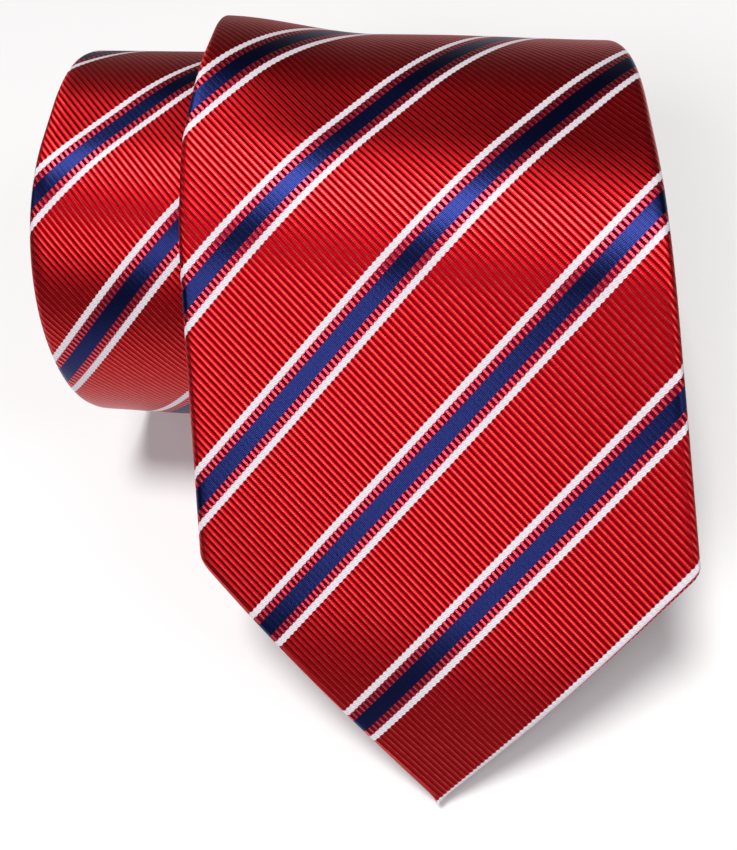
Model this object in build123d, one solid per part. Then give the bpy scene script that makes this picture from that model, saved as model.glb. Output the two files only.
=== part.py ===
from build123d import *

import math
import os

os.makedirs("parts", exist_ok=True)

# A classic three-piece necktie, wound up from its narrow end into a roll that stands on its
# side. The wide end comes over the top of the roll and slopes down in front of it.
# +X runs along the roll, +Y to the back of the roll and +Z up, from the middle of its flat base.
# A place on the tie is given by v, how far it is from the blade's tip along the face of the
# cloth, by x, and by depth, how far it is below the face of the cloth.

# ---- The tie laid flat (mm) ----
TIE_LENGTH = 1480.0
BLADE_WIDTH = 95.0
NECK_WIDTH = 38.0
TAIL_WIDTH = 46.0
NECK_START = 828.0        # the blade has tapered to the neck here
NECK_END = 1040.0         # the tail starts to widen here
TIP_V = 1.07              # the blade's drawn-out tip
LEFT_CORNER = 49.5        # v of the blade's left and right corners
RIGHT_CORNER = 55.5
TAIL_POINT = 23.0         # length of the tail's pointed end
TIP_BLUNT = 1.2           # the silk stops this far from each drawn-out tip
LAYER_BLUNT = 3.6         # the same for the layers inside
BLADE_SEAM = 690.0        # joint of the blade and neck pieces
TAIL_SEAM = 1060.0        # joint of the neck and tail pieces
SEAM_GAP = 0.2
HEM = 11.0                # width of the hem turned in along the pointed edges
BLADE_CLOSES = 118.0      # the two back flaps of the blade meet here
TAIL_CLOSES = 66.0        # the same on the tail, from the tail's own tip
TIPPING_PAST = 8.0        # the tipping runs on this far past the place where the flaps meet

# ---- Thickness of the layers (mm) ----
TIE_THICK = 3.0
SILK = 0.4
SLIT_HALF = 0.45          # half the gap where the two back flaps meet
SEAM_ROOM = 0.35          # room for the seams between the face silk and the interlining
LAYER_CLEAR = 0.15        # room between one layer and the next
TIPPING_THICK = 0.3
TIPPING_BACK = TIE_THICK - SILK - LAYER_CLEAR
TIPPING_FACE = TIPPING_BACK - TIPPING_THICK
INTERLINING_FACE = SILK + SEAM_ROOM
INTERLINING_BACK = TIPPING_FACE - LAYER_CLEAR
INNER_CLEAR = 0.3         # room between an inner layer and the fold beside it
SEWN_CLEAR = 0.12         # room between the cloth and what is sewn on its back

# ---- The roll (mm) ----
CORE_RADIUS = 9.45        # of the face of the innermost half turn
FLAT = 9.8                # length of the flat run at the top and the bottom of each turn
TURN_GAP = 0.9            # room between the back of one turn and the face of the next
TURN_PITCH = TIE_THICK + TURN_GAP
SHOULDER_RADIUS = 51.0    # the blade's bend as it leaves the top of the roll
BLADE_SLOPE = 35.6        # slope of the blade's middle, degrees
TIP_SLOPE = 49.9          # slope of the blade's point, degrees
TIP_RUN = 16.7            # straight length at the point
TIP_BEND_RADIUS = 110.0
TIP_ABOVE_TABLE = 0.1
HINGE_GAP = 0.3           # between the part of the blade that lifts and the roll

# ---- Sideways drift of the winding: the step to the left for each mm of tie ----
TIP_SHIFT = 1.0           # from the blade's middle at its left corner to its tip
BLADE_DRIFT = 0.13        # from there up over the top of the roll
BACK_DRIFT = 0.253        # down the back of the roll to its base
BACK_START = 165.0
SECOND_DRIFT = 0.066      # up the front and over the top again
SECOND_TURN_END = 450.0
CORE_START = 900.0
CORE_SHIFT = 20.0         # the core lies this far back to the right of the second turn

# ---- Loops, labels and stitches (mm) ----
KEEPER_AT = 205.0
KEEPER_WIDTH = 12.0
KEEPER_SPAN = 54.0
KEEPER_THICK = 0.5
MAKER_LABEL_AT = 225.0
MAKER_LABEL_SIZE = (24.0, 56.0)
CARE_LABEL_UP = 100.0     # how far the care label lies from the tail's tip
CARE_LABEL_SIZE = (11.0, 26.0)
LABEL_THICK = 0.22
THREAD = 0.28
THREAD_CLEAR = 0.05       # room between a stitch and the cloth
SLIP_STITCH_STEP = 12.0
SLIP_STITCH_LONG = 5.0
SLIP_STITCH_START = 4.0   # from the hinge line
SLIP_SIDE_CLEAR = 0.15    # between the slip stitches and the sides of the slit
BAR_TACK_SPAN = 10.0
BAR_TACK_WIDE = 1.3
BAR_TACK_THICK = 0.4
BLADE_TACK_PAST = 2.0     # from the place where the flaps meet
TAIL_TACK_PAST = 4.0
EDGE_STITCH_STEP = 5.0
EDGE_STITCH_LONG = 2.2
EDGE_STITCH_IN = 0.8      # from the edge of the hem
EDGE_STITCH_START = 4.0
SEAM_STITCH_STEP = 3.6
SEAM_STITCH_LONG = 3.0
SEAM_STITCH_WIDE = 0.6
SEAM_STITCH_IN = 1.0      # from the folded edges
SIDE_STITCH_SPAN = 1.1    # how far a label's stitches reach out beside it
SIDE_STITCH_GAP = 0.15
SIDE_STITCH_WIDE = 0.12   # shares of the label's height
SIDE_STITCH_AT = (0.12, 0.44, 0.76)

ARC_STEP = 22.5           # degrees between the points that set out an arc
SNAP = 0.05               # places along the tie closer than this are one place
CORNER_BLEND = 2.0        # where the folded edge goes from slanted to straight

# ---- The line that the face of the cloth follows, seen along X ----
runs = []                 # v, length, y, z, slope and turn per mm of each straight or arc


def add_run(length, turn):
    """Add a straight run, or an arc that turns the slope down by turn radians for each mm."""
    last = runs[-1]
    y, z, slope = along(last, last[1])
    runs.append((last[0] + last[1], length, y, z, slope, turn))


def along(run, distance):
    """The point and slope at a distance along one run."""
    start, length, y, z, slope, turn = run
    if turn == 0:
        return y + distance * math.cos(slope), z + distance * math.sin(slope), slope
    end_slope = slope - turn * distance
    y += (math.sin(slope) - math.sin(end_slope)) / turn
    z += (math.cos(end_slope) - math.cos(slope)) / turn
    return y, z, end_slope


def middle_run(roll_height):
    """Length of the blade's straight middle, which makes up the height of the roll."""
    rise = roll_height - TIP_HEIGHT - TIP_RUN * math.sin(LOW)
    rise -= TIP_BEND_RADIUS * (math.cos(HIGH) - math.cos(LOW))
    rise -= SHOULDER_RADIUS * (1 - math.cos(HIGH))
    return rise / math.sin(HIGH)


def height_of(half_turns):
    """Height of the roll with this many half turns outside the innermost one."""
    return 2 * CORE_RADIUS + half_turns * TURN_PITCH


def length_held(half_turns):
    """How much tie the roll and the blade in front of it hold."""
    blade = TIP_RUN + TIP_BEND_RADIUS * (LOW - HIGH) + SHOULDER_RADIUS * HIGH
    radii = [CORE_RADIUS + i * TURN_PITCH / 2 for i in range(half_turns + 1)]
    wound = sum(FLAT + math.pi * radius for radius in radii)
    return blade + middle_run(height_of(half_turns)) + wound


LOW = math.radians(TIP_SLOPE)
HIGH = math.radians(BLADE_SLOPE)
TIP_HEIGHT = TIP_ABOVE_TABLE + TIE_THICK * math.cos(LOW)
half_turns = 1
while length_held(half_turns) < TIE_LENGTH:
    half_turns += 1
ROLL_HEIGHT = height_of(half_turns)


def lay_out_blade():
    """Set out the blade from its tip up to the hinge line at the front of the roll's top."""
    middle_length = middle_run(ROLL_HEIGHT)
    reach = TIP_RUN * math.cos(LOW) + TIP_BEND_RADIUS * (math.sin(LOW) - math.sin(HIGH))
    reach += middle_length * math.cos(HIGH) + SHOULDER_RADIUS * math.sin(HIGH)
    runs.append((0.0, TIP_RUN, -FLAT / 2 - reach, TIP_HEIGHT, LOW, 0.0))
    add_run(TIP_BEND_RADIUS * (LOW - HIGH), 1 / TIP_BEND_RADIUS)
    add_run(middle_length, 0.0)
    add_run(SHOULDER_RADIUS * HIGH, 1 / SHOULDER_RADIUS)


def lay_out_roll():
    """Add flat runs and half circles, each half circle half a pitch smaller than the last."""
    radius = ROLL_HEIGHT / 2
    while runs[-1][0] + runs[-1][1] < TIE_LENGTH:
        add_run(FLAT, 0.0)
        add_run(math.pi * radius, 1 / radius)
        radius -= TURN_PITCH / 2


lay_out_blade()
HINGE_V = runs[-1][0] + runs[-1][1]
lay_out_roll()
BASE_V = HINGE_V + FLAT + math.pi * ROLL_HEIGHT / 2 + FLAT / 2


def run_at(v):
    """The run that holds v."""
    for run in runs:
        if v <= run[0] + run[1]:
            break
    return run


# ---- Outlines of the flat tie, as straight runs between a few knots ----
def through(knots, v):
    """Straight-line value at v through (v, value) knots."""
    for (v_low, low), (v_high, high) in zip(knots, knots[1:]):
        if v <= v_high:
            break
    return low + (high - low) * (v - v_low) / (v_high - v_low)


TAIL_CORNER = TIE_LENGTH - TAIL_POINT
BODY_HALF = [
    (LEFT_CORNER, BLADE_WIDTH / 2),
    (NECK_START, NECK_WIDTH / 2),
    (NECK_END, NECK_WIDTH / 2),
    (TAIL_CORNER, TAIL_WIDTH / 2),
    (TIE_LENGTH, 0.0),
]
SLANT = math.sqrt(2)      # a width measured across a 45 degree edge is this much more along X
FOLD_WALL = [
    (0.0, SILK * SLANT),
    (LEFT_CORNER - CORNER_BLEND, SILK * SLANT),
    (RIGHT_CORNER, SILK),
    (TAIL_CORNER, SILK),
    (TAIL_CORNER + CORNER_BLEND, SILK * SLANT),
    (TIE_LENGTH, SILK * SLANT),
]
HEM_ACROSS = HEM * SLANT
BACK_OPENING = [
    (0.0, SLIT_HALF),
    (HEM_ACROSS + SLIT_HALF, SLIT_HALF),
    (LEFT_CORNER, BLADE_WIDTH / 2 - HEM_ACROSS),
    (BLADE_CLOSES, SLIT_HALF),
    (TIE_LENGTH - TAIL_CLOSES, SLIT_HALF),
    (TAIL_CORNER, TAIL_WIDTH / 2 - HEM_ACROSS),
    (TIE_LENGTH - HEM_ACROSS - SLIT_HALF, SLIT_HALF),
    (TIE_LENGTH, SLIT_HALF),
]


def centre_knots():
    """Where the middle of the tie's body lies along X, with x = 0 at the base of the outer turn."""
    at_back = BACK_DRIFT * (BASE_V - BACK_START)
    at_corner = at_back + BLADE_DRIFT * (BACK_START - LEFT_CORNER)
    second_turn = -SECOND_DRIFT * (SECOND_TURN_END - BASE_V)
    return [
        (LEFT_CORNER, at_corner),
        (BACK_START, at_back),
        (BASE_V, 0.0),
        (SECOND_TURN_END, second_turn),
        (CORE_START, second_turn + CORE_SHIFT),
        (TIE_LENGTH, second_turn + CORE_SHIFT),
    ]


CENTRE = centre_knots()
TIP_X = through(CENTRE, LEFT_CORNER) + TIP_SHIFT


def edge(side, v):
    """X of one long edge of the tie, side -1 on the left and 1 on the right."""
    corner = LEFT_CORNER if side < 0 else RIGHT_CORNER
    at = max(v, corner)
    x = through(CENTRE, at) + side * through(BODY_HALF, at)
    return TIP_X + (x - TIP_X) * min(1, (v - TIP_V) / (corner - TIP_V))


def half_width(v):
    return (edge(1, v) - edge(-1, v)) / 2


def middle(v):
    return (edge(1, v) + edge(-1, v)) / 2


def fold_wall(v):
    """Thickness of the folded edge measured along X, more where the edge runs at 45 degrees."""
    return through(FOLD_WALL, v)


# ---- Solids that follow the face line ----
def snapped(v):
    """v, or the nearest start of a run where that is almost the same place."""
    nearest = min((run[0] for run in runs), key=lambda start: abs(start - v))
    return nearest if abs(nearest - v) < SNAP else v


def breaks(v_from, v_to):
    """The values of v where a strip starts another straight, arc or change of outline."""
    knots = [run[0] for run in runs]
    knots += [LEFT_CORNER, RIGHT_CORNER]
    knots += [v for table in (BODY_HALF, BACK_OPENING, FOLD_WALL, CENTRE) for v, value in table]
    spaced = [snapped(v_from)]
    end = snapped(v_to)
    for v in sorted(snapped(knot) for knot in knots):
        if spaced[-1] + SNAP < v < end - SNAP:
            spaced.append(v)
    return spaced + [end]


def spot(run, v, x, depth):
    """The point in space at v, x and depth, on a run."""
    y, z, slope = along(run, v - run[0])
    return Vector(x, y + depth * math.sin(slope), z - depth * math.cos(slope))


def corner_edge(run, v_low, v_high, low, high):
    """The edge that one corner of a section, an (x, depth) pair, draws along a run."""
    turn = run[5]
    if turn == 0:
        return Edge.make_line(spot(run, v_low, *low), spot(run, v_high, *high))
    steps = max(2, math.ceil(math.degrees((v_high - v_low) * turn) / ARC_STEP))
    values = []
    points = []
    for i in range(steps + 1):
        share = i / steps
        values.append(v_low + (v_high - v_low) * share)
        x = low[0] + (high[0] - low[0]) * share
        depth = low[1] + (high[1] - low[1]) * share
        points.append(spot(run, values[-1], x, depth))
    return Edge.make_spline(points, parameters=values)


def strip(v_from, v_to, section):
    """A closed solid whose section, a list of (x, depth) corners at v, changes along v."""
    faces = []
    ends = []
    values = breaks(v_from, v_to)
    for v_low, v_high in zip(values, values[1:]):
        run = run_at((v_low + v_high) / 2)
        corners = zip(section(v_low), section(v_high))
        edges = [corner_edge(run, v_low, v_high, low, high) for low, high in corners]
        for first, second in zip(edges, edges[1:] + edges[:1]):
            if run[5] == 0:
                outline = [first @ 0, first @ 1, second @ 1, second @ 0]
                faces.append(Face(Wire.make_polygon(outline, close=True)))
            else:
                faces.append(Face.make_surface_from_curves(first, second))
        ends += [[edge @ 0 for edge in edges], [edge @ 1 for edge in edges]]
    for outline in (ends[0], ends[-1]):
        faces.append(Face(Wire.make_polygon(outline, close=True)))
    return Solid(Shell(faces))


def silk_section(v):
    """The folded silk: face, two folded edges and two back flaps that stop at the slit."""
    x = middle(v)
    half = half_width(v)
    inner = half - fold_wall(v)
    opening = min(through(BACK_OPENING, v), inner / 2)
    back = TIE_THICK
    return [
        (x - half, 0),
        (x + half, 0),
        (x + half, back),
        (x + opening, back),
        (x + opening, back - SILK),
        (x + inner, back - SILK),
        (x + inner, SILK),
        (x - inner, SILK),
        (x - inner, back - SILK),
        (x - opening, back - SILK),
        (x - opening, back),
        (x - half, back),
    ]


def layer_section(face_depth, back_depth):
    """The section of a flat layer that lies inside the folded silk."""

    def section(v):
        reach = half_width(v) - fold_wall(v) - INNER_CLEAR
        x = middle(v)
        return [
            (x - reach, face_depth),
            (x + reach, face_depth),
            (x + reach, back_depth),
            (x - reach, back_depth),
        ]

    return section


def patch(v, length, x_low, x_high, face_depth, back_depth):
    """A small flat piece or stitch between two values of x, measured from the tie's middle."""

    def section(at):
        x = middle(at)
        return [
            (x + x_low, face_depth),
            (x + x_high, face_depth),
            (x + x_high, back_depth),
            (x + x_low, back_depth),
        ]

    return strip(v, v + length, section)


def sewn_patch(v, size, thick):
    """A label or loop sewn flat on the back of the tie."""
    length, span = size
    top = TIE_THICK + SEWN_CLEAR
    return patch(v, length, -span / 2, span / 2, top, top + thick)


# ---- Stitches ----
def slip_stitches(v_from, v_to):
    """The long hand-sewn thread that shows as a row of stitches in the slit."""
    count = int((v_to - v_from - SLIP_STITCH_LONG) / SLIP_STITCH_STEP) + 1
    half = SLIT_HALF - SLIP_SIDE_CLEAR
    top = TIE_THICK - SILK + THREAD_CLEAR
    starts = [v_from + i * SLIP_STITCH_STEP for i in range(count)]
    return [patch(v, SLIP_STITCH_LONG, -half, half, top, top + THREAD) for v in starts]


def bar_tack(v):
    """A short close-sewn bar across the place where the two back flaps meet."""
    reach = BAR_TACK_SPAN / 2
    top = TIE_THICK + THREAD_CLEAR
    return [patch(v, BAR_TACK_WIDE, -reach, reach, top, top + BAR_TACK_THICK)]


def on_both_sides(v, length, near, far, top, bottom):
    """Two stitches, one each side of the tie's middle, from near to far along X."""
    right = patch(v, length, near, far, top, bottom)
    left = patch(v, length, -far, -near, top, bottom)
    return [right, left]


def tipping_stitches(v_from, v_to):
    """Stitches that hold the tipping to the hem, on both sides of the back opening."""
    count = int((v_to - v_from - EDGE_STITCH_LONG) / EDGE_STITCH_STEP) + 1
    top = TIE_THICK + THREAD_CLEAR
    solids = []
    for i in range(count):
        v = v_from + i * EDGE_STITCH_STEP
        opening = max(through(BACK_OPENING, v), through(BACK_OPENING, v + EDGE_STITCH_LONG))
        near = opening + EDGE_STITCH_IN
        solids += on_both_sides(v, EDGE_STITCH_LONG, near, near + THREAD, top, top + THREAD)
    return solids


def seam_stitches(v):
    """Stitches inside the tie that join two pieces of silk at v."""
    reach = half_width(v) - SILK - SEAM_STITCH_IN
    count = int(2 * reach / SEAM_STITCH_STEP) + 1
    start = v - SEAM_STITCH_LONG / 2
    first = -SEAM_STITCH_STEP * (count - 1) / 2
    half = SEAM_STITCH_WIDE / 2
    top = SILK + THREAD_CLEAR
    bottom = INTERLINING_FACE - THREAD_CLEAR
    places = [first + i * SEAM_STITCH_STEP for i in range(count)]
    return [patch(start, SEAM_STITCH_LONG, x - half, x + half, top, bottom) for x in places]


def side_stitches(v, size, thick):
    """Short stitches that hold both ends of a loop or label, just outside them."""
    length, span = size
    near = span / 2 + SIDE_STITCH_GAP
    far = near + SIDE_STITCH_SPAN
    top = TIE_THICK + THREAD_CLEAR
    solids = []
    for share in SIDE_STITCH_AT:
        start = v + length * share
        solids += on_both_sides(start, length * SIDE_STITCH_WIDE, near, far, top, top + thick)
    return solids


# ---- The pieces ----
LIFT_END = HINGE_V - HINGE_GAP / 2
ROLL_START = HINGE_V + HINGE_GAP / 2
TAIL_END = TIE_LENGTH - TIP_BLUNT
LAYER_START = TIP_V + LAYER_BLUNT
LAYER_END = TIE_LENGTH - LAYER_BLUNT
TAIL_CLOSED = TIE_LENGTH - TAIL_CLOSES
KEEPER_SIZE = (KEEPER_WIDTH, KEEPER_SPAN)
interlining_layer = layer_section(INTERLINING_FACE, INTERLINING_BACK)
tipping_layer = layer_section(TIPPING_FACE, TIPPING_BACK)

pieces = {
    "blade_end_silk": [strip(TIP_V + TIP_BLUNT, LIFT_END, silk_section)],
    "blade_silk": [strip(ROLL_START, BLADE_SEAM - SEAM_GAP / 2, silk_section)],
    "neck_silk": [strip(BLADE_SEAM + SEAM_GAP / 2, TAIL_SEAM - SEAM_GAP / 2, silk_section)],
    "tail_silk": [strip(TAIL_SEAM + SEAM_GAP / 2, TAIL_END, silk_section)],
    "blade_end_interlining": [strip(LAYER_START, LIFT_END, interlining_layer)],
    "interlining": [strip(ROLL_START, LAYER_END, interlining_layer)],
    "blade_tipping": [strip(LAYER_START, BLADE_CLOSES + TIPPING_PAST, tipping_layer)],
    "tail_tipping": [strip(TAIL_CLOSED - TIPPING_PAST, LAYER_END, tipping_layer)],
    "keeper_loop": [sewn_patch(KEEPER_AT, KEEPER_SIZE, KEEPER_THICK)],
    "keeper_tacks": side_stitches(KEEPER_AT, KEEPER_SIZE, KEEPER_THICK),
    "maker_label": [sewn_patch(MAKER_LABEL_AT, MAKER_LABEL_SIZE, LABEL_THICK)],
    "label_stitches": side_stitches(MAKER_LABEL_AT, MAKER_LABEL_SIZE, LABEL_THICK),
    "care_label": [sewn_patch(TIE_LENGTH - CARE_LABEL_UP, CARE_LABEL_SIZE, LABEL_THICK)],
    "blade_bar_tack": bar_tack(BLADE_CLOSES + BLADE_TACK_PAST),
    "tail_bar_tack": bar_tack(TAIL_CLOSED - TAIL_TACK_PAST),
    "slip_stitch": slip_stitches(ROLL_START + SLIP_STITCH_START, TAIL_CLOSED - TIPPING_PAST),
    "blade_neck_seam": seam_stitches(BLADE_SEAM),
    "neck_tail_seam": seam_stitches(TAIL_SEAM),
    "blade_tipping_stitches": tipping_stitches(
        HEM_ACROSS + EDGE_STITCH_START, BLADE_CLOSES - EDGE_STITCH_START
    ),
    "tail_tipping_stitches": tipping_stitches(
        TAIL_CLOSED + EDGE_STITCH_START, TIE_LENGTH - HEM_ACROSS - EDGE_STITCH_START
    ),
}

for name, solids in pieces.items():
    shape = solids[0] if len(solids) == 1 else Compound(children=solids)
    shape.label = name
    export_step(shape, f"parts/{name}.step")

hinge_y, hinge_z, hinge_slope = along(run_at(HINGE_V), HINGE_V - run_at(HINGE_V)[0])
print("hinge line y", round(hinge_y, 3), "z", round(hinge_z, 3), "v", round(HINGE_V, 2))
print("base v", round(BASE_V, 2), "smallest radius", round(1 / max(run[5] for run in runs), 2))
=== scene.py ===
import math

import bpy
import numpy as np
from mathutils import Matrix, Vector


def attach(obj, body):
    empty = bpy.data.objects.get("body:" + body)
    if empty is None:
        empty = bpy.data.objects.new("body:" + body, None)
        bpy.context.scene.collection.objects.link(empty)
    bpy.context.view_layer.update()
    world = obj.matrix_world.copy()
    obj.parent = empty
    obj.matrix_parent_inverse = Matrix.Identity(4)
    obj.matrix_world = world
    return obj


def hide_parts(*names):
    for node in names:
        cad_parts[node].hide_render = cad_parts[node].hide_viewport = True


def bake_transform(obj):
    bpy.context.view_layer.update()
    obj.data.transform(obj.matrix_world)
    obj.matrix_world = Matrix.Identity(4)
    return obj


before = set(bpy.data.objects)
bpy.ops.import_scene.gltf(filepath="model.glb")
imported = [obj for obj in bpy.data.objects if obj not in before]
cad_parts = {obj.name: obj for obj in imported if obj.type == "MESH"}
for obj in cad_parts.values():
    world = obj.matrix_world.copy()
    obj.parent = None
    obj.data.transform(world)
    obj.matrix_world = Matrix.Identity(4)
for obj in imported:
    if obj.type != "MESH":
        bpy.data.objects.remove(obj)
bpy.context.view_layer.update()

# ---- The front of the tie: the wide blade's silk ----
# One bias-cut piece of jacquard silk, folded round both edges to the back, from the pointed tip
# up over the top of the roll and down its back to the table. Its point is hemmed.
# Sizes are in millimetres and slopes in degrees. v runs along the tie from its wide tip.
MM = 0.001
TIE_LENGTH = 1480.0
ROLL_HEIGHT = 77.4
FLAT = 9.8                # the roll is flattened over this much at its top and underside
TURN_PITCH = 3.9          # one turn's thickness with the air next to it
SHOULDER_RADIUS = 51.0    # the cloth rounds over from the slope to the top of the roll
BLADE_SLOPE = 35.6
TIP_SLOPE = 49.9          # the last TIP_RUN is steeper
TIP_RUN = 16.7
TIP_BEND_RADIUS = 110.0
TIP_ABOVE_TABLE = 0.1
TIE_THICK = 3.0
SILK = 0.4
LINE_STEP = 0.25          # spacing of the points that hold the face line
LINE_SPARE = 10.0         # how far the face line is worked out past the tie's end


def lay_out_line():
    """The slope of the cloth every LINE_STEP from the tip, then its y and z by adding it up."""
    low = math.radians(TIP_SLOPE)
    high = math.radians(BLADE_SLOPE)
    tip_height = TIP_ABOVE_TABLE + TIE_THICK * math.cos(low)
    rise = ROLL_HEIGHT - tip_height - TIP_RUN * math.sin(low)
    rise -= TIP_BEND_RADIUS * (math.cos(high) - math.cos(low))
    rise -= SHOULDER_RADIUS * (1 - math.cos(high))
    runs = [(TIP_RUN, 0.0), (TIP_BEND_RADIUS * (low - high), 1 / TIP_BEND_RADIUS)]
    runs += [(rise / math.sin(high), 0.0), (SHOULDER_RADIUS * high, 1 / SHOULDER_RADIUS)]
    hinge_v = sum(length for length, turn in runs)
    radius = ROLL_HEIGHT / 2
    while sum(length for length, turn in runs) < TIE_LENGTH + 2 * LINE_SPARE:
        runs += [(FLAT, 0.0), (math.pi * radius, 1 / radius)]
        radius -= TURN_PITCH / 2
    ends = np.cumsum([length for length, turn in runs])
    slopes = low - np.cumsum([length * turn for length, turn in runs])
    v = np.arange(0, TIE_LENGTH + LINE_SPARE, LINE_STEP)
    slope = np.interp(v, np.append(0, ends), np.append(low, slopes))
    y = np.cumsum(np.cos(slope)) * LINE_STEP
    z = np.cumsum(np.sin(slope)) * LINE_STEP
    at_hinge = int(round(hinge_v / LINE_STEP))
    y += -FLAT / 2 - y[at_hinge]
    z += ROLL_HEIGHT - z[at_hinge]
    return v, y, z, slope, hinge_v


line_v, line_y, line_z, line_slope, HINGE_V = lay_out_line()
BASE_V = HINGE_V + FLAT + math.pi * ROLL_HEIGHT / 2 + FLAT / 2

BLADE_WIDTH = 95.0
NECK_WIDTH = 38.0
TAIL_WIDTH = 46.0
NECK_START = 828.0
NECK_END = 1040.0
TIP_V = 1.07              # where the two slanted edges of the point meet
TIP_X = 42.93
LEFT_CORNER = 49.5
RIGHT_CORNER = 55.5
TAIL_POINT = TAIL_WIDTH / 2
# half the width of the folded tie at places along it
body_knots = [
    (LEFT_CORNER, BLADE_WIDTH / 2),
    (NECK_START, NECK_WIDTH / 2),
    (NECK_END, NECK_WIDTH / 2),
    (TIE_LENGTH - TAIL_POINT, TAIL_WIDTH / 2),
    (TIE_LENGTH, 0.0),
]
TOP_V = 165.0
SECOND_TURN_END = 450.0
CORE_START = 900.0
CORE_X = 8.2
# where the middle of the folded tie lies along X
centre_knots = [
    (LEFT_CORNER, 41.9),
    (TOP_V, 26.9),
    (BASE_V, 0.0),
    (SECOND_TURN_END, -11.8),
    (CORE_START, CORE_X),
    (TIE_LENGTH, CORE_X),
]
HEM = 15.6                # the turned-in hem, measured along X across the slanted edge
TIP_BLUNT = 0.5           # the silk stops this far from each drawn-out tip
BLADE_CLOSES = 118.0
TAIL_CLOSES = 66.0
SLIT_HALF = 0.45
# half the width of the opening between the two flaps at the back
opening_knots = [
    (0.0, SLIT_HALF),
    (HEM + SLIT_HALF, SLIT_HALF),
    (LEFT_CORNER, BLADE_WIDTH / 2 - HEM),
    (BLADE_CLOSES, SLIT_HALF),
    (TIE_LENGTH - TAIL_CLOSES, SLIT_HALF),
    (TIE_LENGTH - TAIL_POINT, TAIL_WIDTH / 2 - HEM),
    (TIE_LENGTH - HEM - SLIT_HALF, SLIT_HALF),
    (TIE_LENGTH, SLIT_HALF),
]


def through(knots, v):
    """Straight-line values at v through (v, value) knots."""
    return np.interp(v, [k[0] for k in knots], [k[1] for k in knots])


def softly(shape, v, reach):
    """The values of shape, rounded off over reach each side of every bend."""
    steps = np.linspace(-1, 1, 9)
    return sum(shape(v + reach * step) for step in steps) / len(steps)


def eased(share):
    """A share from 0 to 1 that starts and ends gently."""
    share = np.clip(share, 0, 1)
    return share * share * (3 - 2 * share)


def over(v, start, rise, end, fall):
    """1 between start and end along the tie, eased in over rise and out again over fall."""
    return eased((v - start) / rise) * eased((end - v) / fall)


STRAIGHT_TO = 70.0        # the middle of the blade runs straight up to here
DRIFT_BEND = 14.0         # a change of drift is rounded off over this much each side
CORNER_BEND = 1.5         # the same for the corners of the point
TIP_STRAIGHT = 6.0        # the slanted edges are left straight up to here
HOLLOW = 3.0              # the left edge is drawn in this far over the top of the roll
HOLLOW_OVER = (126.0, 34.0, 225.0, 45.0)
STRETCH = 1.8             # and the second turn's left edge bulges out this far
STRETCH_OVER = (285.0, 45.0, 500.0, 90.0)


def full_edge(side, v):
    """Where the edge would lie with no slanted point, side -1 on the left and 1 on the right."""
    centre = softly(lambda at: through(centre_knots, at), np.maximum(v, STRAIGHT_TO), DRIFT_BEND)
    centre = np.where(v < STRAIGHT_TO, through(centre_knots, v), centre)
    return centre + side * through(body_knots, v)


def edge(side, v):
    """X of one long edge of the tie, with the slanted edges of its point."""
    corner = LEFT_CORNER if side < 0 else RIGHT_CORNER
    corner_x = full_edge(side, np.array(corner))

    def outline(at):
        slanted = TIP_X + (corner_x - TIP_X) * (at - TIP_V) / (corner - TIP_V)
        return np.where(at < corner, slanted, full_edge(side, at))

    rounded = softly(outline, v, CORNER_BEND)
    rounded = np.where(v < TIP_STRAIGHT, outline(v), rounded)
    if side > 0:
        return rounded
    return rounded + HOLLOW * over(v, *HOLLOW_OVER) - STRETCH * over(v, *STRETCH_OVER)


def half_width(v):
    """Half the width of the folded tie."""
    return (edge(1, v) - edge(-1, v)) / 2


def middle(v):
    """Where the middle of the tie lies along X, with the base of the outer turn at x = 0."""
    return (edge(1, v) + edge(-1, v)) / 2


SPRING = 3.6              # the left edge springs up this far over the top of the roll
SPRING_REACH = 34.0       # and comes down to the even line this far in
SPRING_OVER = (118.0, 34.0, 230.0, 60.0)
SETTLE = 0.9              # the right edge settles by this much
SETTLE_REACH = 40.0       # and is back on the even line this far in
SETTLE_OVER = (120.0, 30.0, 220.0, 60.0)


def lifted(v, x):
    """How far the cloth stands above the even line over the top of the roll."""
    from_left = eased((x - edge(-1, v)) / SPRING_REACH)
    rise = SPRING * (1 - from_left) * over(v, *SPRING_OVER)
    from_right = eased((edge(1, v) - x) / SETTLE_REACH)
    fall = SETTLE * (1 - from_right) * over(v, *SETTLE_OVER)
    return rise - fall


def in_place(v, x, depth):
    """Points in metres at v along the face line, x across, and depth below the face."""
    slope = np.interp(v, line_v, line_slope)
    depth = depth - lifted(v, x)
    y = np.interp(v, line_v, line_y) + depth * np.sin(slope)
    z = np.interp(v, line_v, line_z) - depth * np.cos(slope)
    return np.stack(np.broadcast_arrays(x, y, z), -1) * MM


STRIPE_REPEAT = 26.57     # across the stripes, from one navy stripe to the next
FRONT_STRIPE_ANGLE = math.radians(50.92)    # the stripes rise to the right at this angle
FRONT_RIB_ANGLE = math.radians(46.8)        # the ribs follow one another in this direction
FRONT_STRIPE_START = 24.8
BACK_STRIPE_ANGLE = math.radians(49.99)
BACK_RIB_ANGLE = math.radians(42.5)
BACK_TOP_V = 396.6
BACK_MIDDLE_X = 18.3
BACK_STRIPE_START = 8.65
MATCH_FROM = 150.0        # over this stretch at the back of the roll the pattern of the front
MATCH_TO = 275.0          # eases over to the pattern of the second turn
PATTERN_X = 44.0          # the front pattern is measured from this x
BACK_STRIPES = 9          # whole stripe repeats from the tip to the second turn
BACK_ALONG_START = 283.0  # the place along the stripes in the middle of the second turn's top


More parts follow.
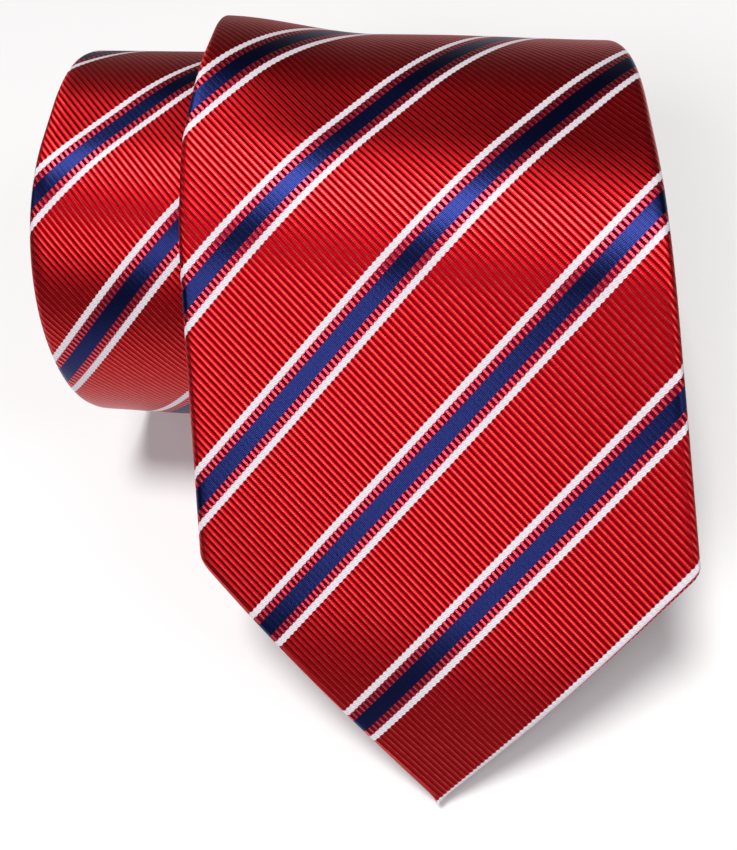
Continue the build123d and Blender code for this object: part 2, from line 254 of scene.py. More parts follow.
def woven(v, x):
    """Places in the cloth's pattern: along the stripes, and across them from a navy stripe."""
    front_x = x - PATTERN_X
    back_x = x - BACK_MIDDLE_X
    back_v = v - BACK_TOP_V
    across = v * math.cos(FRONT_STRIPE_ANGLE) - front_x * math.sin(FRONT_STRIPE_ANGLE)
    across -= FRONT_STRIPE_START
    along = front_x * math.cos(FRONT_RIB_ANGLE) + v * math.sin(FRONT_RIB_ANGLE)
    back_across = back_v * math.cos(BACK_STRIPE_ANGLE) - back_x * math.sin(BACK_STRIPE_ANGLE)
    back_across += BACK_STRIPES * STRIPE_REPEAT - BACK_STRIPE_START
    back_along = back_x * math.cos(BACK_RIB_ANGLE) + back_v * math.sin(BACK_RIB_ANGLE)
    back_along += BACK_ALONG_START
    share = eased((v - MATCH_FROM) / (MATCH_TO - MATCH_FROM))
    across = across * (1 - share) + back_across * share
    along = along * (1 - share) + back_along * share
    return np.stack(np.broadcast_arrays(along, across), -1)


def new_mesh(name, points, faces, pattern=None):
    """A smooth-shaded object from points and faces, with its places in the weave as a UV map."""
    mesh = bpy.data.meshes.new(name)
    mesh.from_pydata(points.reshape(-1, 3).tolist(), [], faces)
    mesh.polygons.foreach_set("use_smooth", [True] * len(mesh.polygons))
    if pattern is not None:
        corners = np.empty(len(mesh.loops), int)
        mesh.loops.foreach_get("vertex_index", corners)
        layer = mesh.uv_layers.new(name="weave")
        layer.data.foreach_set("uv", pattern.reshape(-1, 2)[corners].ravel())
    mesh.update()
    made = bpy.data.objects.new(name, mesh)
    bpy.context.scene.collection.objects.link(made)
    return made


def sleeve(name, v, section):
    """Cloth folded round to the back: section(v) gives x, unfolded x and depth of the outer
    skin and of the inner skin, point by point, for a column of v."""
    column = v[:, None]
    x, unfolded, depth = section(column)
    count = x.shape[1]
    points = in_place(column, x, depth)
    pattern = woven(column, unfolded)
    faces = []
    for row in range(len(v) - 1):
        for i in range(count):
            j = (i + 1) % count
            a, b = row * count, (row + 1) * count
            faces.append((a + i, a + j, b + j, b + i))
    half = count // 2
    last = (len(v) - 1) * count
    for i in range(half - 1):
        near, far = i, count - 1 - i
        faces.append((near, far, far - 1, near + 1))
        faces.append((last + near, last + near + 1, last + far - 1, last + far))
    return new_mesh(name, points, faces, pattern)


FACE_POINTS = 76
FOLD_POINTS = 9
FLAP_POINTS = 18
MOST_OPEN = 0.8           # the flaps cover at least the rest of the half width
MOST_FOLD = 0.9           # near the tips the round folds take up to this share of it


def across_slant(v):
    """How much wider a width is along X where the edge is cut at 45 degrees."""
    return np.where((v < LEFT_CORNER) | (v > TIE_LENGTH - TAIL_POINT), math.sqrt(2), 1.0)


def silk_section(v, fine=1.0):
    """Outer skin from one flap end round to the other, then the inner skin back again."""
    half = half_width(v)
    x = middle(v)
    slanted = across_slant(v)
    opening = np.minimum(through(opening_knots, v), half * MOST_OPEN)
    skins = []
    for inset in (0.0, SILK):
        high = TIE_THICK / 2 - inset
        fold = np.minimum(high * slanted, (half - inset) * MOST_FOLD)
        turn = np.linspace(0, math.pi, int(FOLD_POINTS * fine) + 2)
        face = np.linspace(-1, 1, int(FACE_POINTS * fine))
        flap = np.linspace(1, 0, int(FLAP_POINTS * fine) + 1)[1:]
        flat = half - inset * slanted - fold
        back_flap = np.minimum(opening, flat)
        flap_wide = (flat - back_flap) * flap
        bow = np.pi * (fold + high) / 2
        right_x = [flat + fold * np.sin(turn), back_flap + flap_wide]
        round_fold = inset + high * (1 - np.cos(turn))
        right_depth = [round_fold + 0 * flat, TIE_THICK - inset + 0 * flap_wide]
        right_unfolded = [flat + bow * turn / math.pi, 2 * flat + bow - back_flap - flap_wide]
        right_x, right_depth, right_unfolded = (
            np.concatenate(side, 1) for side in (right_x, right_depth, right_unfolded)
        )
        face_x = flat * face[1:-1]
        skins.append(
            (
                np.concatenate([-right_x[:, ::-1], face_x, right_x], 1),
                np.concatenate([-right_unfolded[:, ::-1], face_x, right_unfolded], 1),
                np.concatenate([right_depth[:, ::-1], inset + 0 * face_x, right_depth], 1),
            )
        )
    joined = [np.concatenate([a, b[:, ::-1]], 1) for a, b in zip(*skins)]
    return x + joined[0], x + joined[1], joined[2]


def rows(v_from, v_to, step):
    """Even places along the tie, about a step apart."""
    return np.linspace(v_from, v_to, max(2, int(round((v_to - v_from) / step)) + 1))


FRONT_STEP = 1.1
front_rows = rows(TIP_V + TIP_BLUNT, BASE_V, FRONT_STEP)
front_silk = sleeve("blade_front_silk", front_rows, silk_section)


def declare_cloth(v, section):
    """Work out a piece's section at places along it; nothing else is done with it."""
    x, unfolded, depth = section(v[:, None])


class Nodes:
    """A short way to add and join the nodes of one material."""

    def __init__(self, name):
        self.material = bpy.data.materials.new(name)
        self.material.use_nodes = True
        self.tree = self.material.node_tree
        self.shader = self.tree.nodes["Principled BSDF"]

    def put(self, kind, **inputs):
        """A new node, with values or other nodes' outputs on its named inputs."""
        node = self.tree.nodes.new(kind)
        for key, value in inputs.items():
            self.join(node.inputs[key.replace("_", " ")], value)
        return node

    def join(self, socket, value):
        """Put a value, or another node's output, on an input."""
        if isinstance(value, bpy.types.NodeSocket):
            self.tree.links.new(value, socket)
        else:
            socket.default_value = value

    def calc(self, operation, *values):
        """The result of one sum, such as MULTIPLY."""
        node = self.tree.nodes.new("ShaderNodeMath")
        node.operation = operation
        for socket, value in zip(node.inputs, values):
            self.join(socket, value)
        return node.outputs[0]

    def step(self, value, low, high, to_low=0.0, to_high=1.0):
        """Ease from to_low to to_high while the value goes from low to high."""
        node = self.put("ShaderNodeMapRange", Value=value)
        node.interpolation_type = "SMOOTHSTEP"
        node.inputs["From Min"].default_value = low
        node.inputs["From Max"].default_value = high
        node.inputs["To Min"].default_value = to_low
        node.inputs["To Max"].default_value = to_high
        return node.outputs["Result"]

    def blend(self, share, first, second):
        """A mix of two colours, the first where the share is 0."""
        node = self.tree.nodes.new("ShaderNodeMix")
        node.data_type = "RGBA"
        self.join(node.inputs["Factor"], share)
        self.join(node.inputs["A"], first)
        self.join(node.inputs["B"], second)
        return node.outputs["Result"]


RIB_PITCH = 1.124
NAVY_HALF = 1.55          # from the middle of a stripe to the end of its navy
LADDER_END = 3.1          # to the end of the ladder beside it
WHITE_END = 4.35          # and to the end of the white line
BLUR = 0.07               # how softly one colour gives way to the next
TOOTH = 0.22              # how far the white lines step in and out at every rib
BEAD_PITCH = 0.42         # the twist of the yarn, along a rib
BEAD_LEAN = 0.9           # how far the twist leans over from one side of a rib to the other
NAVY_LINE_PITCH = 0.31
SILK_ROUGH = 0.42
SILK_SHINE = 0.92
RIB_HEIGHT = 0.075 * MM
RED = (0.44, 0.0, 0.006, 1)
# painted shade in the grooves between the red ribs
RED_GROOVE_SHADE = (0.15, 0.0, 0.002, 1)
# a painted highlight, on the crests of the red ribs and on the beads of the ladders
RED_PAINTED_HIGHLIGHT = (0.95, 0.13, 0.11, 1)
WHITE = (0.84, 0.80, 0.84, 1)
WHITE_SHADE = (0.36, 0.30, 0.42, 1)
NAVY = (0.018, 0.026, 0.125, 1)
NAVY_LINE = (0.002, 0.003, 0.03, 1)
LADDER_DARK = (0.14, 0.0, 0.012, 1)
LADDER_PINK = (0.70, 0.022, 0.10, 1)


def striped_silk():
    """Ribbed red silk with navy stripes, each between two ladders and two white lines."""
    n = Nodes("striped_silk")
    place = n.put("ShaderNodeUVMap")
    place.uv_map = "weave"
    parts = n.put("ShaderNodeSeparateXYZ", Vector=place.outputs["UV"])
    along, across = parts.outputs["X"], parts.outputs["Y"]
    rib = n.calc("FRACT", n.calc("DIVIDE", along, RIB_PITCH))
    from_crest = n.calc("MULTIPLY", n.calc("ABSOLUTE", n.calc("SUBTRACT", rib, 0.5)), 2.0)
    lean = n.calc("MULTIPLY_ADD", rib, BEAD_LEAN, n.calc("DIVIDE", across, BEAD_PITCH))
    bead = n.calc("MULTIPLY_ADD", n.calc("SINE", n.calc("MULTIPLY", lean, math.tau)), 0.5, 0.5)
    patchy = n.put("ShaderNodeTexNoise", Vector=place.outputs["UV"], Scale=0.9, Detail=2.0)
    # this noise makes the painted highlight patchy
    uneven_highlight = n.step(patchy.outputs["Fac"], 0.3, 0.7, 0.55, 1.0)
    # distance from the middle of the nearest navy stripe, with a tooth at every rib
    repeat = n.calc("FRACT", n.calc("ADD", n.calc("DIVIDE", across, STRIPE_REPEAT), 0.5))
    off = n.calc("MULTIPLY", n.calc("SUBTRACT", repeat, 0.5), STRIPE_REPEAT)
    distance = n.calc("ABSOLUTE", off)
    toothed = n.calc("MULTIPLY_ADD", from_crest, TOOTH, n.calc("SUBTRACT", distance, TOOTH / 2))
    # the red ribs, each with a thin painted highlight along its crest, made patchy and broken up
    # by the twist of its yarn, and painted shade in the grooves between them
    crest = n.step(from_crest, 0.10, 0.42, 1.0, 0.0)
    twist = n.calc("MULTIPLY_ADD", bead, 0.7, 0.2)
    painted_highlight = n.calc("MULTIPLY", n.calc("MULTIPLY", crest, uneven_highlight), twist)
    # painted shade deepens towards the groove of each rib
    groove_shade = n.step(from_crest, 0.62, 0.98)
    red = n.blend(groove_shade, n.blend(painted_highlight, RED, RED_PAINTED_HIGHLIGHT), RED_GROOVE_SHADE)
    # the ladders' pink rungs carry beads of the painted highlight
    rung = n.step(from_crest, 0.30, 0.50)
    ladder = n.blend(rung, n.blend(bead, LADDER_PINK, RED_PAINTED_HIGHLIGHT), LADDER_DARK)
    # the white lines carry the fine hatch of the weave between the beads of the twist, drawn as
    # painted shade that deepens towards the grooves
    between_beads = n.calc("SUBTRACT", 1.0, bead)
    shaded_hatch = n.calc("MULTIPLY", between_beads, n.calc("MULTIPLY_ADD", from_crest, 0.4, 0.2))
    white = n.blend(shaded_hatch, WHITE, WHITE_SHADE)
    line = n.calc("FRACT", n.calc("DIVIDE", off, NAVY_LINE_PITCH))
    line = n.calc("ABSOLUTE", n.calc("SUBTRACT", line, 0.5))
    satin = n.blend(n.step(line, 0.2, 0.5), NAVY, NAVY_LINE)
    in_navy = n.step(distance, NAVY_HALF - BLUR, NAVY_HALF + BLUR, 1.0, 0.0)
    past_ladder = n.step(toothed, LADDER_END - BLUR, LADDER_END + BLUR)
    in_red = n.step(toothed, WHITE_END - BLUR, WHITE_END + BLUR)
    in_white = n.calc("SUBTRACT", past_ladder, in_red)
    colour = n.blend(in_navy, ladder, satin)
    colour = n.blend(past_ladder, colour, white)
    colour = n.blend(in_red, colour, red)
    n.join(n.shader.inputs["Base Color"], colour)
    rough = n.calc("MULTIPLY_ADD", in_navy, -0.02, SILK_ROUGH)
    rough = n.calc("MULTIPLY_ADD", in_white, 0.2, rough)
    n.join(n.shader.inputs["Roughness"], rough)
    shine = n.calc("MULTIPLY_ADD", in_white, -0.7, SILK_SHINE)
    shine = n.calc("MULTIPLY_ADD", in_navy, 0.06, shine)
    n.join(n.shader.inputs["Metallic"], shine)
    n.join(n.shader.inputs["Specular IOR Level"], 0.25)
    # the silk yarns run over the ribs, so the sheen spreads along the ribs and not across them
    yarn = n.put("ShaderNodeTangent")
    yarn.direction_type = "UV_MAP"
    yarn.uv_map = "weave"
    n.join(n.shader.inputs["Tangent"], yarn.outputs["Tangent"])
    n.join(n.shader.inputs["Anisotropic"], 0.9)
    n.join(n.shader.inputs["Anisotropic Rotation"], 0.25)
    # height of the weave: round red ribs, and smooth floats in the white and navy stripes
    round_rib = n.calc("SQRT", n.calc("SUBTRACT", 1.02, n.calc("POWER", from_crest, 2.0)))
    flat = n.calc("MAXIMUM", in_navy, in_white)
    height = n.calc("MULTIPLY", round_rib, n.calc("MULTIPLY_ADD", flat, -0.85, 1.0))
    height = n.calc("MULTIPLY_ADD", bead, 0.10, height)
    height = n.calc("MULTIPLY_ADD", n.calc("MULTIPLY", line, in_navy), -0.2, height)
    bump = n.put("ShaderNodeBump", Height=height, Strength=1.0, Distance=RIB_HEIGHT)
    n.join(n.shader.inputs["Normal"], bump.outputs["Normal"])
    return n.material


silk = striped_silk()
front_silk.data.materials.append(silk)

BEND_LENGTH = 8.0         # bend_end lies this far before the hinge along the face line; nothing uses it
bend_end = Vector(in_place(np.array(HINGE_V - BEND_LENGTH), np.array(0.0), np.array(0.0)))
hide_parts("blade_end_silk")
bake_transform(front_silk)
declare_cloth(front_rows, silk_section)

# ---- The rest of the blade, the neck and the tail ----
# The same silk, wound up from its narrow end. The tie is cut from three pieces, seamed at both
# ends of the narrow neck, and the tail has a small hemmed point of its own.
BLADE_SEAM = 690.0
TAIL_SEAM = 1060.0
SEAM_GAP = 0.2
WOUND_STEP = 1.8
MEASURE_STEP = 2.0
COARSE = 0.45             # share of the front's points that the turns inside have


def coarse_section(v):
    """The folded silk with fewer points, for the turns inside."""
    return silk_section(v, fine=COARSE)


wound_pieces = (
    ("blade_silk", BASE_V, BLADE_SEAM, "neck_silk_wound"),
    ("neck_silk", BLADE_SEAM, TAIL_SEAM, "tail_silk_wound"),
    ("tail_silk", TAIL_SEAM, TIE_LENGTH - TIP_BLUNT, "neck_silk_wound"),
)
for name, start, end, under in wound_pieces:
    first = start + SEAM_GAP / 2 if start in (BLADE_SEAM, TAIL_SEAM) else start
    last = end - SEAM_GAP / 2 if end in (BLADE_SEAM, TAIL_SEAM) else end
    piece = sleeve(name + "_wound", rows(first, last, WOUND_STEP), coarse_section)
    piece.data.materials.append(silk)
    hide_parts(name)
    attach(piece, "roll")
    declare_cloth(rows(start, end, MEASURE_STEP), silk_section)

# ---- The interlining ----
# One long strip of brushed wool canvas, cut on the bias, that lies flat inside the folded silk
# from tip to tip and gives the tie its body. The slip stitch runs through it.
INTERLINING_FACE = 0.75
INTERLINING_BACK = 2.0
INNER_CLEAR = 0.35
LAYER_BLUNT = 3.6         # the layers stop this far from each drawn-out tip
LAYER_POINTS = 24
LAYER_EDGE = 0.3          # share of the thickness taken off at a layer's edges
FRONT_WOOL_STEP = 2.0
WOUND_WOOL_STEP = 2.4
WOOL_DARK = (0.52, 0.46, 0.37, 1)
WOOL_LIGHT = (0.74, 0.69, 0.60, 1)


def layer_section(face_depth, back_depth):
    """A flat layer inside the silk, with rounded edges."""

    def section(v):
        reach = half_width(v) - SILK * across_slant(v) - INNER_CLEAR
        across = np.linspace(-1, 1, LAYER_POINTS)
        thick = back_depth - face_depth
        tuck = np.where(np.abs(across) == 1, thick * LAYER_EDGE, 0.0)
        x = reach * across + 0 * v
        x = np.concatenate([x, x[:, ::-1]], 1)
        depth = np.concatenate([face_depth + tuck, (back_depth - tuck)[::-1]]) + 0 * v
        return middle(v) + x, middle(v) + x, depth

    return section


def brushed_wool():
    """Off-white wool with a fuzzy nap."""
    n = Nodes("brushed_wool")
    place = n.put("ShaderNodeTexCoord").outputs["Object"]
    fibres = n.put("ShaderNodeTexNoise", Vector=place, Scale=1800.0, Detail=4.0)
    tint = n.step(fibres.outputs["Fac"], 0.3, 0.7)
    n.join(n.shader.inputs["Base Color"], n.blend(tint, WOOL_DARK, WOOL_LIGHT))
    n.join(n.shader.inputs["Roughness"], 0.9)
    n.join(n.shader.inputs["Sheen Weight"], 0.3)
    bump = n.put("ShaderNodeBump", Height=fibres.outputs["Fac"], Distance=0.15 * MM)
    n.join(n.shader.inputs["Normal"], bump.outputs["Normal"])
    return n.material


wool = brushed_wool()
wool_section = layer_section(INTERLINING_FACE, INTERLINING_BACK)
front_wool_rows = rows(TIP_V + LAYER_BLUNT, BASE_V, FRONT_WOOL_STEP)
wound_wool_rows = rows(BASE_V, TIE_LENGTH - LAYER_BLUNT, WOUND_WOOL_STEP)
front_wool = sleeve("blade_front_interlining", front_wool_rows, wool_section)
front_wool.data.materials.append(wool)
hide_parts("blade_end_interlining")
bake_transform(front_wool)
declare_cloth(front_wool_rows, wool_section)
wound_wool = sleeve("interlining_wound", wound_wool_rows, wool_section)
wound_wool.data.materials.append(wool)
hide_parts("interlining")
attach(wound_wool, "roll")
declare_cloth(wound_wool_rows, wool_section)

# ---- The tipping ----
# Thin satin lining cut to the shape of each end. It covers the interlining inside the back
# opening, and the turned hem of the silk is stitched down over its edge.
TIPPING_FACE = 2.15
TIPPING_BACK = 2.45
TIPPING_PAST = 8.0        # the tipping runs on this far past the place where the flaps meet
TIPPING_STEP = 1.6
TWILL_HALF = 0.2          # half the pitch of the satin's fine lines
LINING_LIGHT = (0.24, 0.006, 0.016, 1)
LINING_DARK = (0.13, 0.003, 0.009, 1)


def lining_satin():
    """Plain dark red satin."""
    n = Nodes("lining_satin")
    place = n.put("ShaderNodeUVMap")
    place.uv_map = "weave"
    along = n.put("ShaderNodeSeparateXYZ", Vector=place.outputs["UV"]).outputs["X"]
    twill = n.calc("PINGPONG", along, TWILL_HALF)
    colour = n.blend(n.step(twill, 0.0, TWILL_HALF), LINING_DARK, LINING_LIGHT)
    n.join(n.shader.inputs["Base Color"], colour)
    n.join(n.shader.inputs["Roughness"], 0.32)
    bump = n.put("ShaderNodeBump", Height=twill, Strength=0.4, Distance=0.1 * MM)
    n.join(n.shader.inputs["Normal"], bump.outputs["Normal"])
    return n.material


satin = lining_satin()
tipping_section = layer_section(TIPPING_FACE, TIPPING_BACK)
TAIL_CLOSED = TIE_LENGTH - TAIL_CLOSES
blade_reach = (TIP_V + LAYER_BLUNT, BLADE_CLOSES + TIPPING_PAST)
tail_reach = (TAIL_CLOSED - TIPPING_PAST, TIE_LENGTH - LAYER_BLUNT)
tippings = (
    ("blade_tipping", blade_reach, "blade_end", "blade_front_interlining"),
    ("tail_tipping", tail_reach, "roll", "interlining_wound"),
)
for name, (start, end), body, under in tippings:
    tipping_rows = rows(start, end, TIPPING_STEP)
    piece = sleeve(name + "_satin", tipping_rows, tipping_section)
    piece.data.materials.append(satin)
    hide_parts(name)
    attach(piece, body)
    declare_cloth(tipping_rows, tipping_section)

# ---- The keeper loop and the two labels ----
# The loop is a narrow tube of the same silk, pressed flat and tacked across the back of the
# blade. The labels are blank woven tape, one beside the loop and a small one on the tail.
SEWN_TOP = TIE_THICK + 0.12
BAND_COLUMNS = 30
BAND_ROWS = 10
BAND_EDGE = 0.3           # share of the thickness taken off at the long edges


def band(name, v, length, span, thick):
    """A flat band with softened edges, laid across the back of the tie."""
    across = np.linspace(-1, 1, BAND_COLUMNS)
    ring = np.linspace(0, 1, BAND_ROWS)
    face_v = np.concatenate([v + length * ring, v + length * ring[::-1]])
    tuck = np.where((ring == 0) | (ring == 1), BAND_EDGE, 0.0)
    shares = np.concatenate([tuck, 1 - tuck[::-1]])
    x = middle(face_v)[None, :] + span / 2 * across[:, None]
    depth = SEWN_TOP + thick * shares[None, :] + 0 * x
    points = in_place(face_v[None, :] + 0 * x, x, depth)
    weave = np.stack([x + 0.7 * face_v, face_v * 0.7 - x * 0.7], -1)
    count = 2 * BAND_ROWS
    faces = []
    for k in range(BAND_COLUMNS - 1):
        for i in range(count):
            j = (i + 1) % count
            a, b = k * count, (k + 1) * count
            faces.append((b + i, b + j, a + j, a + i))
    last = (BAND_COLUMNS - 1) * count
    for i in range(BAND_ROWS - 1):
        far = count - 1 - i
        faces.append((i + 1, far - 1, far, i))
        faces.append((last + far, last + far - 1, last + i + 1, last + i))
    return new_mesh(name, points, faces, weave)


TAPE_RIB_HALF = 0.15      # half the pitch of the tape's ribs
TAPE_DARK = (0.01, 0.012, 0.05, 1)
TAPE_LIGHT = (0.03, 0.04, 0.14, 1)


def label_tape():
    """Navy woven tape with fine ribs and nothing written on it."""
    n = Nodes("label_tape")
    place = n.put("ShaderNodeUVMap")
    place.uv_map = "weave"
    across = n.put("ShaderNodeSeparateXYZ", Vector=place.outputs["UV"]).outputs["Y"]
    ribs = n.calc("PINGPONG", across, TAPE_RIB_HALF)
    colour = n.blend(n.step(ribs, 0.0, TAPE_RIB_HALF), TAPE_DARK, TAPE_LIGHT)
    n.join(n.shader.inputs["Base Color"], colour)
    n.join(n.shader.inputs["Roughness"], 0.5)
    bump = n.put("ShaderNodeBump", Height=ribs, Strength=0.5, Distance=0.1 * MM)
    n.join(n.shader.inputs["Normal"], bump.outputs["Normal"])
    return n.material


tape = label_tape()
# v, length along the tie, span across it and thickness
KEEPER = (205.0, 12.0, 54.0, 0.5)
MAKER_LABEL = (225.0, 24.0, 56.0, 0.22)
CARE_LABEL = (1380.0, 11.0, 26.0, 0.22)
sewn_on = (
    ("keeper_loop", KEEPER, silk, "striped_silk"),
    ("maker_label", MAKER_LABEL, tape, "label_tape"),
    ("care_label", CARE_LABEL, tape, "label_tape"),
)
for name, size, cloth, slot in sewn_on:
    piece = band(name + "_band", *size)
    piece.data.materials.append(cloth)
    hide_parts(name)
    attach(piece, "roll")
    at = "tail_silk_wound" if name == "care_label" else "blade_front_silk"

# ---- The stitches ----
# Twisted silk thread: the long slip stitch that closes the back, close-sewn bar tacks near both
# ends of it, the stitches along the tipping, those at the ends of the loop and of the maker's
# label, and the two seams.
TWIST_HALF = 0.17         # half the pitch of the thread's twist
THREAD_DARK = (0.12, 0.0, 0.01, 1)
THREAD_LIGHT = (0.5, 0.01, 0.03, 1)


def twisted_thread():
    """Red silk sewing thread, with the twist of its plies."""
    n = Nodes("twisted_thread")
    place = n.put("ShaderNodeUVMap")
    place.uv_map = "weave"
    parts = n.put("ShaderNodeSeparateXYZ", Vector=place.outputs["UV"])
    twist = n.calc("PINGPONG", n.calc("ADD", parts.outputs["X"], parts.outputs["Y"]), TWIST_HALF)
    colour = n.blend(n.step(twist, 0.0, TWIST_HALF), THREAD_DARK, THREAD_LIGHT)
    n.join(n.shader.inputs["Base Color"], colour)
    n.join(n.shader.inputs["Roughness"], 0.4)
    bump = n.put("ShaderNodeBump", Height=twist, Distance=0.2 * MM)
    n.join(n.shader.inputs["Normal"], bump.outputs["Normal"])
    return n.material


thread = twisted_thread()
THREAD = 0.28
THREAD_SIDES = 8
END_SWELL = np.array([0.05, 0.5, 0.8, 0.95, 1.0, 1.0])      # thickness towards a stitch's end
END_SHARE = np.array([0, 0.03, 0.08, 0.15, 0.25, 0.4])      # at these shares of its length


def stitches(name, places, node, body):
    """One piece made of round-ended lengths of thread, from (v, x, depth) to (v, x, depth)."""
    swell = np.append(END_SWELL, END_SWELL[::-1])
    share = np.append(END_SHARE, 1 - END_SHARE[::-1])
    turn = np.linspace(0, math.tau, THREAD_SIDES, endpoint=False)
    points = []
    weave = []
    faces = []
    for start, end, thick in places:
        start = np.array(start)
        run = np.array(end) - start
        spine = start + share[:, None] * run
        side = np.array([-run[1], run[0]]) / math.hypot(run[0], run[1])
        radius = thick / 2 * swell
        v = spine[:, :1] + radius[:, None] * np.cos(turn) * side[0]
        x = spine[:, 1:2] + radius[:, None] * np.cos(turn) * side[1]
        depth = spine[:, 2:] + radius[:, None] * np.sin(turn)
        first = len(points) * len(share) * THREAD_SIDES
        points.append(in_place(v, middle(v) + x, depth))
        around = 0 * v + turn * thick / 2
        weave.append(np.stack([share[:, None] * math.hypot(run[0], run[1]) + 0 * v, around], -1))
        for k in range(len(share) - 1):
            for i in range(THREAD_SIDES):
                j = (i + 1) % THREAD_SIDES
                a = first + k * THREAD_SIDES
                b = a + THREAD_SIDES
                faces.append((a + i, b + i, b + j, a + j))
        faces.append(tuple(first + i for i in range(THREAD_SIDES)))
        end_ring = first + (len(share) - 1) * THREAD_SIDES
        faces.append(tuple(end_ring + i for i in reversed(range(THREAD_SIDES))))
    piece = new_mesh(name, np.array(points), faces, np.array(weave))
    piece.data.materials.append(thread)
    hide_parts(node)
    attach(piece, body)
    return piece


THREAD_CLEAR = 0.05
ON_TOP = TIE_THICK + THREAD_CLEAR + THREAD / 2
IN_SLIT = TIE_THICK - SILK + THREAD_CLEAR + THREAD / 2
SLIP_START = HINGE_V + 4.15
SLIP_END = TAIL_CLOSED - TIPPING_PAST - 5.0
SLIP_EVERY = 12.0
SLIP_STITCH = 5.0
SLIP_SLANT = 0.28         # each slip stitch crosses the slit from this far on its left
slip = []
for v in np.arange(SLIP_START, SLIP_END, SLIP_EVERY):
    slip.append(((v, -SLIP_SLANT, IN_SLIT), (v + SLIP_STITCH, SLIP_SLANT, IN_SLIT), THREAD))
stitches("slip_stitch_thread", slip, "slip_stitch", "roll")

TACK_HALF = 4.8
TACK_BARS = 33
TACK_LENGTH = 1.3
TACK_LEAN = 0.12
TACK_THREAD = 0.34
TACK_DEPTH = ON_TOP + 0.06
tacks = (
    ("blade_bar_tack", BLADE_CLOSES + 2.0, "blade_end"),
    ("tail_bar_tack", TAIL_CLOSED - 4.0, "roll"),
)
for name, v, body in tacks:
    bars = []
    for x in np.linspace(-TACK_HALF, TACK_HALF, TACK_BARS):
        end = (v + TACK_LENGTH, x + TACK_LEAN, TACK_DEPTH)
        bars.append(((v, x, TACK_DEPTH), end, TACK_THREAD))
    stitches(name + "_thread", bars, name, body)

HEM_STITCH = 2.2
HEM_EVERY = 5.0
HEM_ENDS = 4.0            # the stitches keep this far from both ends of the hem
HEM_IN = 0.94             # and lie this far from the edge of the opening, on the silk
hems = (
    ("blade_tipping_stitches", HEM, BLADE_CLOSES, "blade_end"),
    ("tail_tipping_stitches", TAIL_CLOSED, TIE_LENGTH - HEM, "roll"),
)
for name, start, end, body in hems:
    along_hem = []
    for v in np.arange(start + HEM_ENDS, end - HEM_ENDS - HEM_STITCH, HEM_EVERY):
        last = v + HEM_STITCH
        near = max(through(opening_knots, v), through(opening_knots, last)) + HEM_IN
        for side in (-1, 1):
            along_hem.append(((v, side * near, ON_TOP), (last, side * near, ON_TOP), THREAD))
    stitches(name + "_thread", along_hem, name, body)

END_STITCH = 1.1
END_GAP = 0.15            # between the end of the loop or label and its stitches
END_SHARES = (0.18, 0.5, 0.82)
for name, size in (("keeper_tacks", KEEPER), ("label_stitches", MAKER_LABEL)):
    v, length, span, thick = size
    ends_sewn = []
    for share in END_SHARES:
        for side in (-1, 1):
            at = v + length * share
            near = side * (span / 2 + END_GAP)
            far = near + side * END_STITCH
            ends_sewn.append(((at, near, ON_TOP), (at, far, ON_TOP), THREAD))
    stitches(name + "_thread", ends_sewn, name, "roll")

SEAM_EVERY = 3.6
SEAM_STITCH_HALF = 1.5
SEAM_THREAD = 0.24
SEAM_FROM_EDGE = 1.0
SEAM_DEPTH = (SILK + INTERLINING_FACE) / 2
for name, v in (("blade_neck_seam", BLADE_SEAM), ("neck_tail_seam", TAIL_SEAM)):
    reach = float(half_width(np.array(v))) - SILK - SEAM_FROM_EDGE
    count = int(2 * reach / SEAM_EVERY) + 1
    seam = []
    for i in range(count):
        x = (i - (count - 1) / 2) * SEAM_EVERY
        start = (v - SEAM_STITCH_HALF, x, SEAM_DEPTH)
        seam.append((start, (v + SEAM_STITCH_HALF, x, SEAM_DEPTH), SEAM_THREAD))
    stitches(name + "_thread", seam, name, "roll")

# ---- Table, light and camera ----
# The rolled tie stands on pale paper in an even light from above. A soft light in front of it
# draws out the sheen, and a weaker one fills in from the right. The camera looks down on it.
TABLE_SIZE = 6.0
TABLE_DROP = 0.0002       # keeps the paper just clear of the tie's underside
PAPER_LIGHT = (0.84, 0.84, 0.84, 1)
PAPER_DARK = (0.80, 0.80, 0.80, 1)
bpy.ops.mesh.primitive_plane_add(size=TABLE_SIZE, location=(0, 0, -TABLE_DROP))
table = bpy.context.object
table.name = "table_top"
paper = Nodes("pale_paper")
mottle = paper.put("ShaderNodeTexNoise", Scale=40.0)
faint = paper.calc("MULTIPLY", mottle.outputs["Fac"], 0.1)
paper.join(paper.shader.inputs["Base Color"], paper.blend(faint, PAPER_LIGHT, PAPER_DARK))
paper.join(paper.shader.inputs["Roughness"], 0.7)
table.data.materials.append(paper.material)

ROOM_LIGHT = 0.07
world = bpy.data.worlds.new("studio")
bpy.context.scene.world = world
world.use_nodes = True
world.node_tree.nodes["Background"].inputs["Color"].default_value = (1, 1, 1, 1)
world.node_tree.nodes["Background"].inputs["Strength"].default_value = ROOM_LIGHT


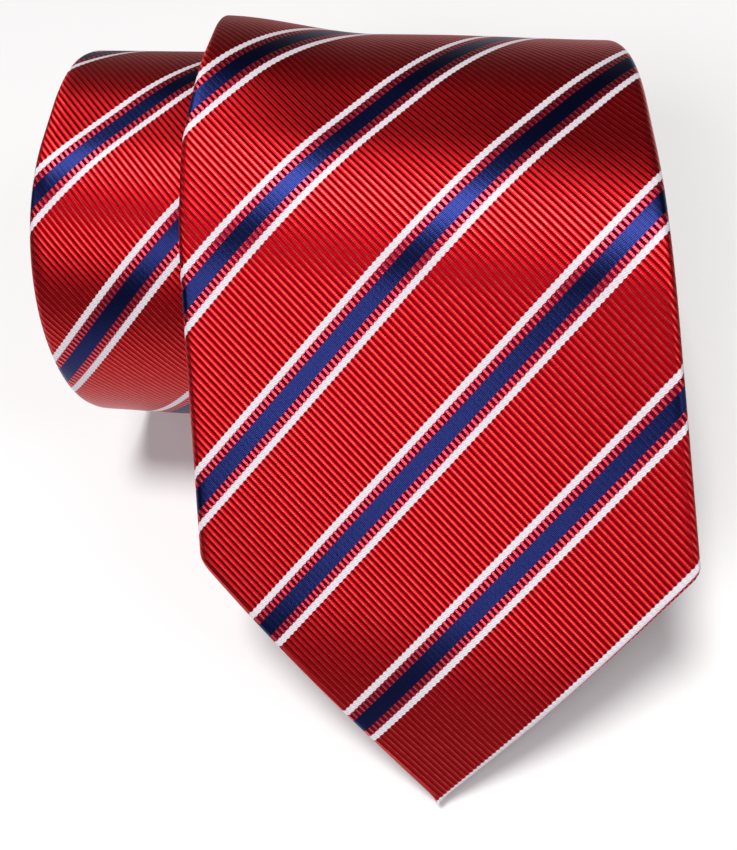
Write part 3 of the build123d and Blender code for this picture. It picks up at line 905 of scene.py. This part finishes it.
def softbox(name, place, target, size, power, colour=(1, 1, 1)):
    """A rectangular soft light at a place in metres, turned to its target."""
    data = bpy.data.lights.new(name, "AREA")
    data.shape = "RECTANGLE"
    data.size, data.size_y = size
    data.energy = power
    data.color = colour
    lamp = bpy.data.objects.new(name, data)
    lamp.location = place
    lamp.rotation_mode = "QUATERNION"
    lamp.rotation_quaternion = (Vector(target) - Vector(place)).to_track_quat("-Z", "Y")
    bpy.context.scene.collection.objects.link(lamp)


TIE_MIDDLE = (0.02, -0.05, 0.04)
softbox("front_sheen", (-0.22, -0.60, 0.74), TIE_MIDDLE, (0.36, 0.34), 3.7, (1.0, 0.95, 0.98))
softbox("side_fill", (0.62, -0.15, 0.72), TIE_MIDDLE, (0.35, 0.35), 1.0)
SUN_STRENGTH = 2.45
SUN_SPREAD = math.radians(17)
SUN_DIRECTION = (0.12, -0.09, -0.99)
sun = bpy.data.lights.new("overhead", "SUN")
sun.energy = SUN_STRENGTH
sun.angle = SUN_SPREAD
sun.color = (1.0, 0.99, 0.98)
overhead = bpy.data.objects.new("overhead", sun)
overhead.rotation_mode = "QUATERNION"
overhead.rotation_quaternion = Vector(SUN_DIRECTION).to_track_quat("-Z", "Y")
bpy.context.scene.collection.objects.link(overhead)

CAMERA_AT = (0.0591, -0.1443, 0.2296)
CAMERA_PITCH = math.radians(61.53)
CAMERA_YAW = math.radians(-19.9)
CAMERA_ROLL = math.radians(-13.76)
SENSOR_WIDTH = 36
LENS = 45.76
forward = Vector(
    (
        math.sin(CAMERA_YAW) * math.cos(CAMERA_PITCH),
        math.cos(CAMERA_YAW) * math.cos(CAMERA_PITCH),
        -math.sin(CAMERA_PITCH),
    )
)
level = Vector((math.cos(CAMERA_YAW), -math.sin(CAMERA_YAW), 0))
upright = level.cross(forward)
right = level * math.cos(CAMERA_ROLL) + upright * math.sin(CAMERA_ROLL)
up = upright * math.cos(CAMERA_ROLL) - level * math.sin(CAMERA_ROLL)
camera_data = bpy.data.cameras.new("camera")
camera_data.sensor_width = SENSOR_WIDTH
camera_data.lens = LENS
camera_data.clip_start = 0.005
camera = bpy.data.objects.new("camera", camera_data)
camera.matrix_world = Matrix(
    [[right[i], up[i], -forward[i], CAMERA_AT[i]] for i in range(3)] + [[0, 0, 0, 1]]
)
bpy.context.scene.collection.objects.link(camera)
bpy.context.scene.camera = camera
bpy.context.scene.view_settings.view_transform = "Standard"
